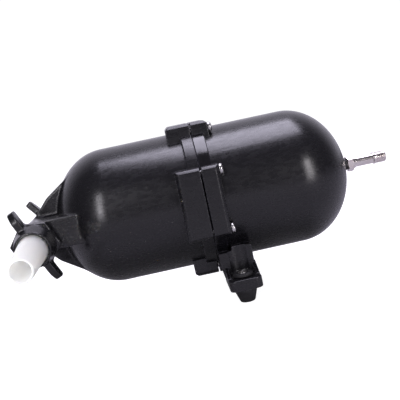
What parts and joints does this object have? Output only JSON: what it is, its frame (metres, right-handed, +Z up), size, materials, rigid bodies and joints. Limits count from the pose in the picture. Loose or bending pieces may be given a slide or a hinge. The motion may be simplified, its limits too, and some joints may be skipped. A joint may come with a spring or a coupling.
{
  "type": "diaphragm accumulator tank",
  "caption": "Small bolted two-shell diaphragm accumulator tank on rubber feet, with hose tails held by wing nuts on one end and an air valve on the other.",
  "frame": {"origin": "on the floor under the middle of the bounding box, where the two rubber feet stand", "axes": "+X along the tank toward the air valve, the water ports are at the -X end and point to -Y and +Y, +Z is up"},
  "size_m": [0.2586, 0.2004, 0.1171],
  "materials": {
    "black_body": "satin moulded, fine grain",
    "black_nut": "semi-gloss moulded",
    "white_nylon": "satin, slightly translucent",
    "screw_steel": "plain stainless",
    "spring_steel": "bright",
    "nickel_plate": "nickel plated brass",
    "bare_brass": "machined",
    "foot_rubber": "matt",
    "bladder_rubber": "matt"
  },
  "bodies": {
    "root": {"water_shell": "black_body", "gas_shell": "black_body", "bladder": "bladder_rubber", "valve_body": "nickel_plate", "valve_seal": "bladder_rubber", "valve_core": "bare_brass", "front_rubber_foot": "foot_rubber", "rear_rubber_foot": "foot_rubber", "front_foot_bush": "spring_steel", "rear_foot_bush": "spring_steel", "flange_screw_1": "screw_steel", "flange_screw_2": "screw_steel", "flange_screw_3": "screw_steel", "flange_screw_4": "screw_steel", "flange_screw_5": "screw_steel", "flange_screw_6": "screw_steel", "flange_screw_7": "screw_steel", "flange_screw_8": "screw_steel"},
    "front_tail": {"front_hose_barb": "white_nylon", "front_o_ring": "bladder_rubber"},
    "front_nut": {"front_wing_nut": "black_nut"},
    "rear_tail": {"rear_hose_barb": "white_nylon", "rear_o_ring": "bladder_rubber"},
    "rear_nut": {"rear_wing_nut": "black_nut"},
    "valve_pin": {"valve_pin": "bare_brass", "valve_spring": "spring_steel"}
  },
  "joints": [
    {"name": "front_tail_slide", "type": "slide", "parent": "root", "child": "front_tail", "axis": [0, -0.9962, -0.0872], "range_m": [0, 0.00725]},
    {"name": "front_nut_turn", "type": "hinge", "parent": "front_tail", "child": "front_nut", "pos_m": [-0.11223, -0.04742, 0.06215], "axis": [0, -0.9962, -0.0872], "range_deg": [0, 1440]},
    {"name": "rear_tail_slide", "type": "slide", "parent": "root", "child": "rear_tail", "axis": [0, 0.9962, -0.0872], "range_m": [0, 0.00725]},
    {"name": "rear_nut_turn", "type": "hinge", "parent": "rear_tail", "child": "rear_nut", "pos_m": [-0.11223, 0.04742, 0.06215], "axis": [0, 0.9962, -0.0872], "range_deg": [0, 1440]},
    {"name": "valve_pin_press", "type": "slide", "parent": "root", "child": "valve_pin", "axis": [-1, 0, 0], "range_m": [0, 0.0015], "stiffness_N_per_m": 600, "springref_m": -0.001}
  ],
  "couplings": [
    {"joint": "front_nut_turn", "follows": "front_tail_slide", "rad_per_m": 3463.7},
    {"joint": "rear_nut_turn", "follows": "rear_tail_slide", "rad_per_m": 3463.7}
  ]
}
